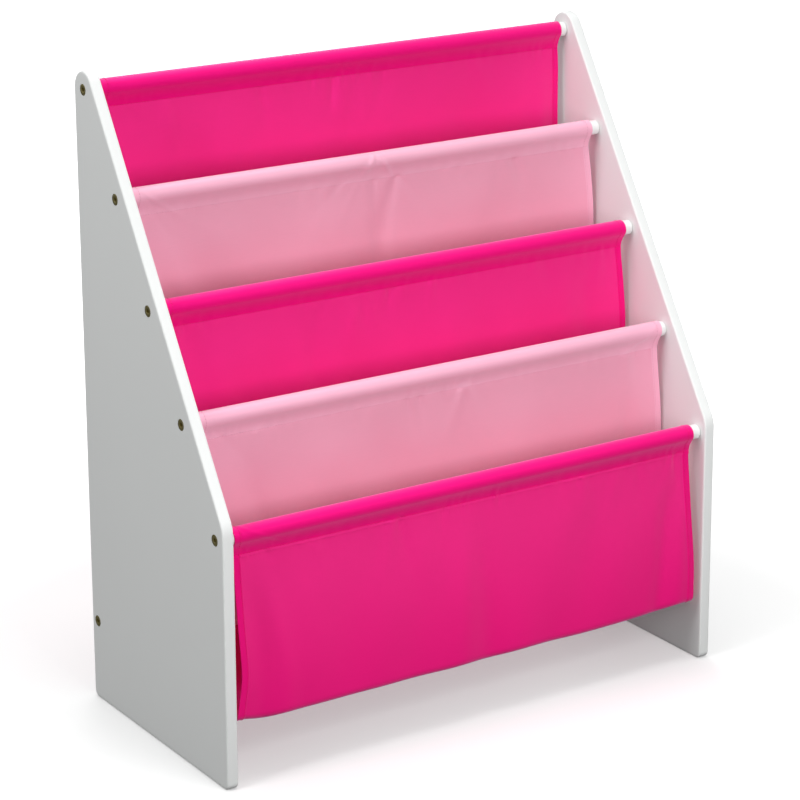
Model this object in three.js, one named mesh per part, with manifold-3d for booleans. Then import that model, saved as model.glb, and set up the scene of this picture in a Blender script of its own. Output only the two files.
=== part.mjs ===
// A child's sling bookshelf: two painted side panels, six dowels between them, and five cloth
// slings, hung over the five dowels of the slope, that make four book pockets.
// Millimetres, +Z up. The origin is on the floor under the middle of the rack. X runs along the
// dowels, the low front faces -Y and the tall back faces +Y.
import * as THREE from "three";
import { mergeVertices } from "three/addons/utils/BufferGeometryUtils.js";
import Module from "manifold-3d";

// Overall sizes
const RACK_WIDTH = 611.3;
const RACK_DEPTH = 285.6;
const FIT_GAP = 0.3; // clearance left between pieces that touch

// Side panels: painted board with a straight sloping front edge
const BOARD_THICKNESS = 12.7;
const SLOPE_LEAN = 32.1; // degrees between the sloping front edge and the vertical
const SLOPE_START_HEIGHT = 275.2; // where the upright front edge would meet the slope
const TOP_ROUND = 19.1; // radius of the round top corner, about the top dowel
const SLOPE_ROUND = 32;
const FOOT_ROUND = 7;
const EDGE_ROUND = 2;
const PANEL_ARC_STEPS = 5;
const EDGE_ARC_STEPS = 3;

// Dowels: five down the slope, and one low at the back that stiffens the frame
const DOWEL_DIAMETER = 16;
const SLOPE_DOWELS = 5;
const LOW_DOWEL_INSET = 21.2; // from the slope edge to the lowest sling dowel
const LOW_DOWEL_DROP = 14.6; // from the slope's start down to the lowest sling dowel
const REAR_DOWEL_HEIGHT = 88.4;
const REAR_DOWEL_INSET = 12; // from the back edge
const DOWEL_SIDES = 16;

// Fasteners: a countersunk bolt with a hex socket, in a threaded sleeve in each dowel end
const BOLT_HEAD_DIAMETER = 11.6;
const BOLT_HEAD_HEIGHT = 3;
const BOLT_HEAD_RIM = 0.5; // the straight rim above the cone
const BOLT_SHANK_DIAMETER = 6;
const BOLT_LENGTH = 38;
const SOCKET_ACROSS_FLATS = 4;
const SOCKET_DEPTH = 2.2;
const INSERT_DIAMETER = 9;
const INSERT_LENGTH = 15;
const BORE_RUN_OUT = 4; // empty bore past the bolt's tip
const FASTENER_SIDES = 12;
const HEX_SIDES = 6;

// Slings
const CLOTH_THICKNESS = 1.2;
const BARE_DOWEL = 7; // what shows of a dowel past each end of its sleeve
const STITCH_DROP = 20; // from a dowel's centre down to the stitch line that closes its sleeve
const POCKET_DEPTH = 197; // from the front dowel's centre to the bottom of its pocket
const FRONT_TURN = 8; // radius of the tight turn at the front of a pocket's bottom
const BACK_TURN = 24; // radius of the slack turn at the back of it
const JOIN_RISE = 84; // from a pocket's bottom up to the seam at its back
const SEAM_LAP = 8; // how far two slings overlap at that seam
const PLY_GAP = 0.5; // between the two plies under a sleeve
const FRONT_BELLY = 12; // how far the lowest sling bulges forward of its dowel
const INNER_BELLY = 4;
const FOLD_DEPTH = 3; // of the soft upright folds
const CORNER_LIFT = 6; // how far a sling's bottom corners pull up
const EDGE_FLARE = 2.5; // how far the side edges stand out below the stitch line
const EDGE_DRAW = 1; // how far they draw in at the stitch line and at the bottom
const RUN_STEPS = 4;
const TURN_STEPS = 3;
const SLEEVE_ARC_STEPS = 8;
const ACROSS_STEPS = 12;

// Finishes
const WHITE_PAINT = 0xf1f2f1;
const HOT_PINK = 0xe6127a;
const LIGHT_PINK = 0xf2a9c4;
const AGED_BRASS = 0x6b6446;
const BRIGHT_BRASS = 0xb08d45;

const wasm = await Module();
wasm.setup();

// Worked out from the sizes above
const halfWidth = RACK_WIDTH / 2;
const halfDepth = RACK_DEPTH / 2;
const lean = THREE.MathUtils.degToRad(SLOPE_LEAN);
const innerFace = halfWidth - BOARD_THICKNESS;
const dowelRadius = DOWEL_DIAMETER / 2;
const halfDowel = innerFace - FIT_GAP;

// The sloping edge's place, front to back, at a height.
function slopeAt(height) {
  return -halfDepth + (height - SLOPE_START_HEIGHT) * Math.tan(lean);
}

// Where the slope would meet the back edge, above the round top.
const apexHeight = SLOPE_START_HEIGHT + RACK_DEPTH / Math.tan(lean);

// The top dowel is at the centre of the round top corner.
const topDowelHeight = apexHeight - (TOP_ROUND + TOP_ROUND / Math.cos(lean)) / Math.tan(lean);
const lowDowelHeight = SLOPE_START_HEIGHT - LOW_DOWEL_DROP;

// Centres of the sling dowels, from the top one down, as (front to back, height).
const slingDowels = Array.from({ length: SLOPE_DOWELS }, (_, index) => {
  const share = index / (SLOPE_DOWELS - 1);
  const height = THREE.MathUtils.lerp(topDowelHeight, lowDowelHeight, share);
  const inset = THREE.MathUtils.lerp(TOP_ROUND, LOW_DOWEL_INSET, share);
  return new THREE.Vector2(slopeAt(height) + inset / Math.cos(lean), height);
});
const rearDowel = new THREE.Vector2(halfDepth - REAR_DOWEL_INSET, REAR_DOWEL_HEIGHT);
const allDowels = [...slingDowels, rearDowel];

// Solids and their booleans
function toSolid(geometry) {
  const bare = geometry.clone();
  bare.deleteAttribute("normal");
  bare.deleteAttribute("uv");
  const merged = mergeVertices(bare, 1e-3);
  return new wasm.Manifold(
    new wasm.Mesh({
      numProp: 3,
      vertProperties: merged.attributes.position.array,
      triVerts: new Uint32Array(merged.index.array),
    }),
  );
}

function toGeometry(solid) {
  const mesh = solid.getMesh();
  return new THREE.BufferGeometry()
    .setAttribute("position", new THREE.BufferAttribute(mesh.vertProperties, 3))
    .setIndex(new THREE.BufferAttribute(mesh.triVerts, 1));
}

// A shape drawn as (front to back, height) and extruded along the shape's own third axis, turned
// so that the third axis runs along X.
const alongX = new THREE.Matrix4().makeBasis(
  new THREE.Vector3(0, 1, 0),
  new THREE.Vector3(0, 0, 1),
  new THREE.Vector3(1, 0, 0),
);

// A closed outline with each corner rounded by its own radius; corners run counterclockwise.
function roundedOutline(corners) {
  const shape = new THREE.Shape();
  corners.forEach(({ at, round }, index) => {
    const before = corners[(index + corners.length - 1) % corners.length].at;
    const after = corners[(index + 1) % corners.length].at;
    const inward = before.clone().sub(at).normalize();
    const outward = after.clone().sub(at).normalize();
    const halfAngle = Math.acos(inward.dot(outward)) / 2;
    const toCentre = inward.clone().add(outward).normalize();
    const centre = at.clone().addScaledVector(toCentre, round / Math.sin(halfAngle));
    const reach = round / Math.tan(halfAngle);
    const start = at.clone().addScaledVector(inward, reach).sub(centre);
    const end = at.clone().addScaledVector(outward, reach).sub(centre);
    shape.absarc(centre.x, centre.y, round, start.angle(), end.angle(), false);
  });
  return shape;
}

// A solid of revolution about X, from a profile of (radius, distance along X).
function turned(profile, sides) {
  const points = profile.map(([radius, along]) => new THREE.Vector2(radius, along));
  return new THREE.LatheGeometry(points, sides).rotateZ(-Math.PI / 2);
}

// Side panels
const bolt = {
  headRadius: BOLT_HEAD_DIAMETER / 2,
  shankRadius: BOLT_SHANK_DIAMETER / 2,
};

// The countersunk hole for a bolt, measured inwards from the panel's outer face.
function boltHole() {
  const shank = bolt.shankRadius + FIT_GAP;
  const head = bolt.headRadius + FIT_GAP;
  return turned(
    [
      [0, -BOARD_THICKNESS],
      [head, -BOARD_THICKNESS],
      [head, BOLT_HEAD_RIM + FIT_GAP],
      [shank, BOLT_HEAD_HEIGHT + FIT_GAP],
      [shank, 2 * BOARD_THICKNESS],
      [0, 2 * BOARD_THICKNESS],
    ],
    FASTENER_SIDES,
  );
}

function panelGeometry() {
  const outline = roundedOutline([
    { at: new THREE.Vector2(-halfDepth, 0), round: FOOT_ROUND },
    { at: new THREE.Vector2(halfDepth, 0), round: FOOT_ROUND },
    { at: new THREE.Vector2(halfDepth, apexHeight), round: TOP_ROUND },
    { at: new THREE.Vector2(-halfDepth, SLOPE_START_HEIGHT), round: SLOPE_ROUND },
  ]);
  const board = new THREE.ExtrudeGeometry(outline, {
    depth: BOARD_THICKNESS - 2 * EDGE_ROUND,
    bevelThickness: EDGE_ROUND,
    bevelSize: EDGE_ROUND,
    bevelOffset: -EDGE_ROUND,
    bevelSegments: EDGE_ARC_STEPS,
    curveSegments: PANEL_ARC_STEPS,
  });
  board.translate(0, 0, EDGE_ROUND).applyMatrix4(alongX);
  let solid = toSolid(board);
  for (const centre of allDowels) {
    solid = solid.subtract(toSolid(boltHole().translate(0, centre.x, centre.y)));
  }
  return toGeometry(solid);
}

// Dowels, with a bore in each end for the sleeve and the bolt's tip
const boreDepth = BOLT_LENGTH - BOARD_THICKNESS + BORE_RUN_OUT;
const boreRadius = INSERT_DIAMETER / 2 + FIT_GAP;

function dowelGeometry() {
  return turned(
    [
      [0, -halfDowel + boreDepth],
      [boreRadius, -halfDowel + boreDepth],
      [boreRadius, -halfDowel],
      [dowelRadius, -halfDowel],
      [dowelRadius, halfDowel],
      [boreRadius, halfDowel],
      [boreRadius, halfDowel - boreDepth],
      [0, halfDowel - boreDepth],
    ],
    DOWEL_SIDES,
  );
}

// Bolts and threaded sleeves, both measured inwards from the panel's outer face
function boltGeometry() {
  const body = toSolid(
    turned(
      [
        [0, 0],
        [bolt.headRadius, 0],
        [bolt.headRadius, BOLT_HEAD_RIM],
        [bolt.shankRadius, BOLT_HEAD_HEIGHT],
        [bolt.shankRadius, BOLT_LENGTH],
        [0, BOLT_LENGTH],
      ],
      FASTENER_SIDES,
    ),
  );
  const socketRadius = SOCKET_ACROSS_FLATS / 2 / Math.cos(Math.PI / HEX_SIDES);
  const socket = toSolid(
    turned(
      [
        [0, -SOCKET_DEPTH],
        [socketRadius, -SOCKET_DEPTH],
        [socketRadius, SOCKET_DEPTH],
        [0, SOCKET_DEPTH],
      ],
      HEX_SIDES,
    ),
  );
  return toGeometry(body.subtract(socket));
}

function insertGeometry() {
  const start = BOARD_THICKNESS + 2 * FIT_GAP;
  const bore = bolt.shankRadius + FIT_GAP;
  const outer = INSERT_DIAMETER / 2;
  return turned(
    [
      [bore, start],
      [outer, start],
      [outer, start + INSERT_LENGTH],
      [bore, start + INSERT_LENGTH],
      [bore, start],
    ],
    FASTENER_SIDES,
  );
}

// Slings. A sling's section is one line of cloth, given as points (front to back, height) and
// then thickened: up from the seam behind its pocket, round the pocket's bottom, up to its dowel,
// over it, and down the front of the dowel as the back of the next pocket.
const halfPly = CLOTH_THICKNESS / 2;
const sleeveHalfWidth = innerFace - BARE_DOWEL;
// The sleeve goes less than three quarters round its dowel, in flat steps that must clear it.
const sleeveStep = (1.5 * Math.PI) / SLEEVE_ARC_STEPS;
const sleeveRadius = (dowelRadius + FIT_GAP) / Math.cos(sleeveStep / 2) + halfPly;
const plyOffset = halfPly + PLY_GAP / 2;
const pocketBottom = (index) => slingDowels[index].y - POCKET_DEPTH;
const joinHeight = (index) => pocketBottom(index) + JOIN_RISE;

// How far the cloth stands forward of its dowel at a height below the stitch line.
function belly(index, height) {
  const front = index === SLOPE_DOWELS - 1;
  const stitch = slingDowels[index].y - STITCH_DROP;
  const share = THREE.MathUtils.clamp((stitch - height) / (POCKET_DEPTH - STITCH_DROP), 0, 1);
  return (front ? FRONT_BELLY : INNER_BELLY) * Math.sin((share * Math.PI) / 2);
}

// The upright run from one height to another beside a dowel's column; side is +1 behind the
// column's middle and -1 in front of it.
function run(index, side, from, to) {
  const points = [];
  for (let step = 0; step <= RUN_STEPS; step += 1) {
    const height = THREE.MathUtils.lerp(from, to, step / RUN_STEPS);
    const centre = slingDowels[index].x - belly(index, height);
    points.push(new THREE.Vector2(centre + side * plyOffset, height));
  }
  return points;
}

// The arc over a dowel, from the back round to the front.
function overDowel(index) {
  const centre = slingDowels[index];
  const wrap = Math.acos(sleeveRadius / STITCH_DROP); // from straight down to each tangent point
  const first = -Math.PI / 2 + wrap;
  const last = (3 * Math.PI) / 2 - wrap;
  return Array.from({ length: SLEEVE_ARC_STEPS + 1 }, (_, step) => {
    const angle = THREE.MathUtils.lerp(first, last, step / SLEEVE_ARC_STEPS);
    return new THREE.Vector2(
      centre.x + sleeveRadius * Math.cos(angle),
      centre.y + sleeveRadius * Math.sin(angle),
    );
  });
}

// A quarter turn of cloth at the bottom of a pocket, from one angle to another.
function turn(centreX, centreHeight, radius, from, to) {
  return Array.from({ length: TURN_STEPS + 1 }, (_, step) => {
    const angle = THREE.MathUtils.lerp(from, to, step / TURN_STEPS);
    return new THREE.Vector2(
      centreX + radius * Math.cos(angle),
      centreHeight + radius * Math.sin(angle),
    );
  });
}

// The back of the pocket behind dowel index, below the seam, its bottom, slack at the back and
// tight at the front, and its front.
function pocketBelow(index) {
  const behind = index - 1;
  const foot = joinHeight(index);
  const low = pocketBottom(index);
  const stitch = slingDowels[index].y - STITCH_DROP;
  const backPlace = slingDowels[behind].x - belly(behind, foot) + plyOffset;
  const frontPlace = slingDowels[index].x - belly(index, low + FRONT_TURN) + plyOffset;
  const backTurn = turn(backPlace - BACK_TURN, low + BACK_TURN, BACK_TURN, 0, -Math.PI / 2);
  const frontTurn = turn(
    frontPlace + FRONT_TURN,
    low + FRONT_TURN,
    FRONT_TURN,
    -Math.PI / 2,
    -Math.PI,
  );
  const rise = run(index, 1, low + FRONT_TURN, stitch);
  return [new THREE.Vector2(backPlace, foot), ...backTurn, ...frontTurn, ...rise.slice(1)];
}

function slingLine(index) {
  const stitch = slingDowels[index].y - STITCH_DROP;
  const hem = new THREE.Vector2(slingDowels[index].x + plyOffset, stitch);
  const before = index === 0 ? [hem] : pocketBelow(index);
  const last = index === SLOPE_DOWELS - 1;
  const end = new THREE.Vector2(slingDowels[index].x - plyOffset, stitch);
  const after = last ? [end] : run(index, -1, stitch, joinHeight(index + 1) - SEAM_LAP);
  return [...before, ...overDowel(index), ...after];
}

// A line of cloth thickened to a closed outline.
function thickened(line, half) {
  const sideOf = (sign) =>
    line.map((point, index) => {
      const before = line[Math.max(index - 1, 0)];
      const after = line[Math.min(index + 1, line.length - 1)];
      const along = after.clone().sub(before).normalize();
      return new THREE.Vector2(
        point.x - sign * half * along.y,
        point.y + sign * half * along.x,
      );
    });
  return new THREE.Shape([...sideOf(1), ...sideOf(-1).reverse()]);
}

// Where the soft folds stand across each column of cloth, as shares of its half width, with each
// fold's depth as a share of FOLD_DEPTH; one row for each dowel, from the top.
const foldShares = [
  [[-0.62, 0.7], [-0.05, -0.6], [0.55, 0.5]],
  [[-0.7, -0.5], [-0.12, 1], [0.62, 0.6]],
  [[-0.5, 0.6], [0.2, -0.7], [0.74, 0.6]],
  [[-0.74, 0.6], [-0.2, 0.5], [0.5, -0.6]],
  [[-0.84, 1], [0.02, -0.4], [0.86, 0.9]],
];
const FOLD_WIDTH_SHARE = 0.13;

// The same drape moves every sling, so cloth that lies together stays together.
function drape(point) {
  const across = point.x / sleeveHalfWidth;
  let shift = 0;
  let widen = 0;
  let lift = 0;
  slingDowels.forEach((dowel, index) => {
    const reach = slingDowels[0].x - slingDowels[1].x;
    const near = THREE.MathUtils.clamp(1 - Math.abs(point.y - dowel.x) / reach, 0, 1);
    const drop = dowel.y - STITCH_DROP - point.z;
    const down = THREE.MathUtils.smoothstep(drop, 0, POCKET_DEPTH / 2);
    for (const [place, depth] of foldShares[index]) {
      const away = (across - place) / FOLD_WIDTH_SHARE;
      shift += near * down * depth * FOLD_DEPTH * Math.exp(-away * away);
    }
    const waist = Math.exp(-((drop / STITCH_DROP) ** 2));
    const bottom = THREE.MathUtils.smoothstep(drop, POCKET_DEPTH / 2, POCKET_DEPTH - STITCH_DROP);
    widen += near * (EDGE_FLARE * down - EDGE_DRAW * waist - (EDGE_FLARE + EDGE_DRAW) * bottom * down);
    lift += near * CORNER_LIFT * bottom * across ** 12;
  });
  return new THREE.Vector3(point.x + widen * across, point.y + shift, point.z + lift);
}

function slingGeometry(index) {
  const cloth = new THREE.ExtrudeGeometry(thickened(slingLine(index), halfPly), {
    depth: 2 * sleeveHalfWidth,
    steps: ACROSS_STEPS,
    bevelEnabled: false,
  });
  cloth.translate(0, 0, -sleeveHalfWidth).applyMatrix4(alongX);
  const places = cloth.getAttribute("position");
  const point = new THREE.Vector3();
  for (let vertex = 0; vertex < places.count; vertex += 1) {
    const moved = drape(point.fromBufferAttribute(places, vertex));
    places.setXYZ(vertex, moved.x, moved.y, moved.z);
  }
  cloth.computeVertexNormals();
  return cloth;
}

// The assembly
const rack = new THREE.Group();

function addPiece(name, geometry, color, roughness, metalness) {
  const material = new THREE.MeshStandardMaterial({ color, roughness, metalness });
  const mesh = new THREE.Mesh(geometry, material);
  mesh.name = name;
  rack.add(mesh);
  return mesh;
}

// The left panel's own outer face is its X = 0; turned half round, it serves on the right.
const leftPanel = addPiece("side_panel_left", panelGeometry(), WHITE_PAINT, 0.45, 0);
leftPanel.position.x = -halfWidth;
const rightPanel = addPiece(
  "side_panel_right",
  toGeometry(toSolid(panelGeometry()).mirror([1, 0, 0])),
  WHITE_PAINT,
  0.45,
  0,
);
rightPanel.position.x = halfWidth;

const dowelNames = [
  ...slingDowels.map((_, index) => `dowel_${index + 1}`),
  "dowel_rear_low",
];
allDowels.forEach((centre, index) => {
  const dowel = addPiece(dowelNames[index], dowelGeometry(), WHITE_PAINT, 0.5, 0);
  dowel.position.set(0, centre.x, centre.y);
  for (const [side, turn] of [["left", 0], ["right", Math.PI]]) {
    const ending = `${side}_${dowelNames[index].replace("dowel_", "")}`;
    const face = side === "left" ? -halfWidth : halfWidth;
    const screw = addPiece(`bolt_${ending}`, boltGeometry(), AGED_BRASS, 0.4, 1);
    const sleeve = addPiece(`threaded_insert_${ending}`, insertGeometry(), BRIGHT_BRASS, 0.35, 1);
    for (const piece of [screw, sleeve]) {
      piece.rotation.z = turn;
      piece.position.set(face, centre.x, centre.y);
    }
  }
});

slingDowels.forEach((_, index) => {
  const hot = index % 2 === 0;
  addPiece(
    `sling_${index + 1}_${hot ? "hot_pink" : "light_pink"}`,
    slingGeometry(index),
    hot ? HOT_PINK : LIGHT_PINK,
    0.85,
    0,
  );
});

export default rack;
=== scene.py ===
"""A child's sling bookshelf, dressed for a picture.

Two painted boards carry six painted dowels. Five slings of canvas hang over the dowels of
the slope and make four book pockets. Lengths are metres, +Z is up, the low front faces -Y.
"""

import math

import bmesh
import bpy
import numpy as np
from bpy.props import FloatProperty, FloatVectorProperty, IntProperty, PointerProperty
from mathutils import Matrix, Vector


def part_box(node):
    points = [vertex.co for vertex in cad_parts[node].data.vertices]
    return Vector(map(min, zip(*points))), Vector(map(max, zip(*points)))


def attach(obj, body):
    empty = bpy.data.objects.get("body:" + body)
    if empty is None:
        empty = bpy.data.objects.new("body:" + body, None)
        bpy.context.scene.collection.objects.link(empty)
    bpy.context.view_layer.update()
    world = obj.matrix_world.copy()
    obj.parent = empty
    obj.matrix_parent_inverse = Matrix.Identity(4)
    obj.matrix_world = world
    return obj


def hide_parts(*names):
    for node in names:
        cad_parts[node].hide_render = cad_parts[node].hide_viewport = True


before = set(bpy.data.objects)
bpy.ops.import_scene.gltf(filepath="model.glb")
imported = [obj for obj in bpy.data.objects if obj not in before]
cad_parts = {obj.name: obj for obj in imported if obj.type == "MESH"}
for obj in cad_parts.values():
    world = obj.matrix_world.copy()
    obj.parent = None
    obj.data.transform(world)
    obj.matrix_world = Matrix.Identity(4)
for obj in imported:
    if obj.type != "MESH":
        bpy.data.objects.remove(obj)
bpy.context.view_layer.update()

bl_info = {
    "name": "Sling Bookshelf",
    "version": (1, 0, 0),
    "blender": (4, 5, 0),
    "location": "3D Viewport > Sidebar > Bookshelf",
    "description": "Builds a sling bookshelf of painted boards, dowels and canvas slings",
    "category": "Object",
}

MM = 0.001
BODY = "root"
SIDES = (("left", -1), ("right", 1))
DOWEL_NODES = ("dowel_1", "dowel_2", "dowel_3", "dowel_4", "dowel_5", "dowel_rear_low")
SLING_NODES = (
    "sling_1_hot_pink",
    "sling_2_light_pink",
    "sling_3_hot_pink",
    "sling_4_light_pink",
    "sling_5_hot_pink",
)


def middle_of(node):
    """The middle of a node's box, as (front to back, height)."""
    low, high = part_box(node)
    return (low.y + high.y) / 2, (low.z + high.z) / 2


def extent_of(node, axis):
    """How long a node is along one axis."""
    low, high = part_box(node)
    return high[axis] - low[axis]


ALL_DOWELS = tuple(middle_of(node) for node in DOWEL_NODES)
SLING_DOWELS = ALL_DOWELS[: len(SLING_NODES)]
PANEL_LOW, PANEL_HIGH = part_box("side_panel_left")
OUTER_FACE = -PANEL_LOW.x
INNER_FACE = -PANEL_HIGH.x
HALF_DEPTH = PANEL_HIGH.y
DOWEL_RADIUS = extent_of("dowel_1", 1) / 2
HALF_DOWEL = extent_of("dowel_1", 0) / 2
BOLT_LENGTH = extent_of("bolt_left_1", 0)
BOLT_HEAD_RADIUS = extent_of("bolt_left_1", 2) / 2


# Sizes and colours that a user would change


def length(name, description, value):
    """A length in metres."""
    return FloatProperty(
        name=name, description=description, default=value, unit="LENGTH", precision=5
    )


def power(name, description, value):
    """A lamp's power in watts."""
    return FloatProperty(
        name=name, description=description, default=value, min=0.0, unit="POWER"
    )


def colour(name, description, hex_value):
    """A colour, given as an sRGB hex number."""
    return FloatVectorProperty(
        name=name,
        description=description,
        default=linear(hex_value)[:3],
        subtype="COLOR",
        size=3,
        min=0.0,
        max=1.0,
    )


def linear(hex_value):
    """An sRGB hex number as linear red, green, blue and alpha."""
    channels = []
    for shift in (16, 8, 0):
        share = (hex_value >> shift & 0xFF) / 255
        channels.append(share / 12.92 if share <= 0.04045 else ((share + 0.055) / 1.055) ** 2.4)
    return (*channels, 1.0)


class BoardSizes(bpy.types.PropertyGroup):
    """The side panels' outline."""

    slope_lean: FloatProperty(
        name="Slope lean",
        description="Angle between the sloping front edge and the vertical",
        default=math.radians(32.1),
        subtype="ANGLE",
    )
    slope_start: length("Slope start", "Height where the upright edge would meet the slope", 0.2752)
    top_round: length("Top round", "Radius of the round top corner", 0.0191)
    slope_round: length("Slope round", "Radius where the upright edge meets the slope", 0.032)
    foot_round: length("Foot round", "Radius of the two corners on the floor", 0.007)
    edge_round: length("Edge round", "Radius routed along every edge", 0.002)


class DowelSizes(bpy.types.PropertyGroup):
    """The turned dowels."""

    end_chamfer: length("End chamfer", "Chamfer at each end of a dowel", 0.0006)
    bore_radius: length("Bore radius", "Radius of the bore for the threaded sleeve", 0.0048)
    bore_depth: length("Bore depth", "Depth of the bore in each end", 0.030)
    sides: IntProperty(name="Sides", description="Steps round a dowel", default=64, min=12)


class BoltSizes(bpy.types.PropertyGroup):
    """The countersunk bolts."""

    rim: length("Rim", "Height of the straight rim of the head", 0.0005)
    head_height: length("Head height", "Height of the countersunk head", 0.003)
    shank_radius: length("Shank radius", "Radius over the thread's crests", 0.003)
    thread_depth: length("Thread depth", "Depth of the thread's groove", 0.0004)
    thread_pitch: length("Thread pitch", "Rise of the thread in one turn", 0.001)
    thread_start: length("Thread start", "Plain shank before the thread, from the face", 0.013)
    socket_flats: length("Socket", "Width across the flats of the hex socket", 0.004)
    socket_depth: length("Socket depth", "Depth of the hex socket", 0.0022)
    fit: length("Fit", "Clearance round a bolt in its hole", 0.0003)


class SlingSizes(bpy.types.PropertyGroup):
    """The cloth slings."""

    thickness: length("Thickness", "Thickness of one ply of cloth", 0.0008)
    ply_offset: length("Ply offset", "From the middle of two plies to each one's middle", 0.00085)
    sleeve_radius: length("Sleeve radius", "Radius of the cloth's middle round a dowel", 0.009)
    half_width: length("Half width", "Half the width of a sleeve", INNER_FACE - 0.007)
    hem_width: length("Hem width", "Width of the turned side hems", 0.008)
    hem_rise: length("Hem rise", "What the turned cloth adds to the thickness", 0.0004)
    stitch_drop: length("Stitch drop", "From a dowel's centre down to its stitch line", 0.020)
    pocket_depth: length("Pocket depth", "From a dowel's centre to its pocket's bottom", 0.197)
    join_rise: length("Join rise", "From a pocket's bottom up to the seam behind it", 0.084)
    front_turn: length("Front turn", "Radius of the tight turn at a pocket bottom's front", 0.008)
    back_turn: length("Back turn", "Radius of the slack turn at the back of it", 0.024)
    bottom_sag: length("Bottom sag", "How far a pocket's bottom sags between its turns", 0.0015)
    seam_lap: length("Seam lap", "How far two slings overlap at that seam", 0.008)
    end_turn: length("End turn", "Cloth past the stitch line at a free end", 0.003)
    front_belly: length("Front belly", "How far the lowest sling bulges forward", 0.012)
    inner_belly: length("Inner belly", "How far the other slings bulge forward", 0.004)
    corner_lift: length("Corner lift", "How far the bottom corners pull up", 0.005)
    row_step: length("Row step", "Longest step of the mesh along the cloth", 0.0045)
    column_step: length("Column step", "Step of the mesh across the cloth", 0.0045)
    crease_step: length("Crease step", "The step near its middle and its ends", 0.0018)


class StitchSizes(bpy.types.PropertyGroup):
    """The sewing."""

    pitch: length("Pitch", "From one stitch to the next", 0.0032)
    stitch: length("Stitch", "Length of one stitch", 0.0026)
    thread: length("Thread", "Thickness of the thread", 0.0007)
    seed: IntProperty(name="Seed", description="Seed of the small differences", default=7)


class Finishes(bpy.types.PropertyGroup):
    """The colours."""

    paint: colour("Paint", "White paint on the boards and dowels", 0xF0F2F1)
    hot_single: colour("Hot pink, one ply", "Hot pink cloth where it is one ply", 0xFA2985)
    # The doubled hot pink also serves as painted shade low on the front sling.
    hot_double: colour("Hot pink, two plies", "Hot pink cloth where it is doubled", 0xF8007A)
    light_single: colour("Light pink, one ply", "Light pink cloth, one ply", 0xF4A4BE)
    # Paler than one ply: partly the doubled cloth's own tone, partly a painted highlight for the
    # tops of the light pink sleeves; hems and laps take it too.
    light_double: colour("Light pink, two plies", "Light pink cloth, doubled", 0xFBB4CD)
    aged_brass: colour("Bolt", "Aged brass of the bolts", 0xBEB278)
    bright_brass: colour("Sleeve", "Bright brass of the threaded sleeves", 0xB08D45)


# Nodes and materials


def set_inputs(tree, node, **inputs):
    """Gives a node's inputs their values, and joins those whose value is a socket.

    An input is named by its name with underscores for spaces, or as in_0, in_1 by its number.
    """
    for name, value in inputs.items():
        if name.startswith("in_"):
            socket = node.inputs[int(name[3:])]
        else:
            socket = node.inputs[name.replace("_", " ")]
        if isinstance(value, bpy.types.NodeSocket):
            tree.links.new(value, socket)
        else:
            socket.default_value = value


def add_node(tree, kind, settings=None, **inputs):
    """Adds a node. Settings are its fields, and the inputs are as for set_inputs."""
    node = tree.nodes.new(kind)
    for field, value in (settings or {}).items():
        setattr(node, field, value)
    set_inputs(tree, node, **inputs)
    return node


def cleared_tree(holder):
    """The node tree of a material or a world, emptied."""
    holder.use_nodes = True
    holder.node_tree.nodes.clear()
    return holder.node_tree


def start_material(name):
    """A material with an empty tree, its shader and its output joined."""
    material = bpy.data.materials.new(name)
    tree = cleared_tree(material)
    shader = add_node(tree, "ShaderNodeBsdfPrincipled")
    add_node(tree, "ShaderNodeOutputMaterial", Surface=shader.outputs["BSDF"])
    return material, tree, shader


def scaled_places(tree, scale=(1.0, 1.0, 1.0)):
    """Object coordinates, scaled along each axis."""
    places = add_node(tree, "ShaderNodeTexCoord").outputs["Object"]
    return add_node(tree, "ShaderNodeMapping", Vector=places, Scale=scale).outputs["Vector"]


def mixed(tree, first, second, share):
    """Two colours mixed by a share."""
    mix = {"data_type": "RGBA"}
    return add_node(tree, "ShaderNodeMix", mix, in_0=share, in_6=first, in_7=second).outputs[2]


def maths(tree, operation, *values):
    """One step of arithmetic."""
    inputs = {f"in_{number}": value for number, value in enumerate(values)}
    return add_node(tree, "ShaderNodeMath", {"operation": operation}, **inputs).outputs[0]


def spread(tree, value, low, high):
    """A value from 0 to 1 spread from low to high."""
    reach = add_node(tree, "ShaderNodeMapRange", Value=value, To_Min=low, To_Max=high)
    return reach.outputs["Result"]


def noise(tree, places, scale, detail=2.0, roughness=0.5):
    """Soft cloudy values from 0 to 1."""
    return add_node(
        tree,
        "ShaderNodeTexNoise",
        Vector=places,
        Scale=scale,
        Detail=detail,
        Roughness=roughness,
    ).outputs["Fac"]


def bump(tree, height, strength, distance, **under):
    """The normal that a height gives to a surface, or to the Normal that is under it."""
    return add_node(
        tree, "ShaderNodeBump", Height=height, Strength=strength, Distance=distance, **under
    ).outputs["Normal"]


def darker(rgb, share):
    """A colour with each channel taken down by one share."""
    return tuple(channel * share for channel in rgb[:3]) + (1.0,)


def sprayed_paint(name, rgb, grain_scale, grain_depth):
    """Satin lacquer, sprayed and rubbed down: even white, with a faint skin that softens gloss."""
    material, tree, shader = start_material(name)
    places = scaled_places(tree)
    cloud = noise(tree, places, scale=7.0, detail=3.0)
    # The spray's skin has cells of about 1.4 mm, and what lies under it shows as fine grain.
    skin_cell = 1.4 * MM
    skin = noise(tree, places, scale=1 / skin_cell, detail=1.0)
    grain = noise(tree, scaled_places(tree, grain_scale), scale=1.0, detail=3.0)
    skin_normal = bump(tree, skin, strength=0.25, distance=0.06 * MM)
    set_inputs(
        tree,
        shader,
        Base_Color=mixed(tree, (*rgb, 1.0), darker(rgb, 0.955), cloud),
        Normal=bump(tree, grain, strength=0.5, distance=grain_depth, Normal=skin_normal),
        Roughness=spread(tree, cloud, 0.36, 0.50),
        Specular_IOR_Level=0.45,
    )
    return material


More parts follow.
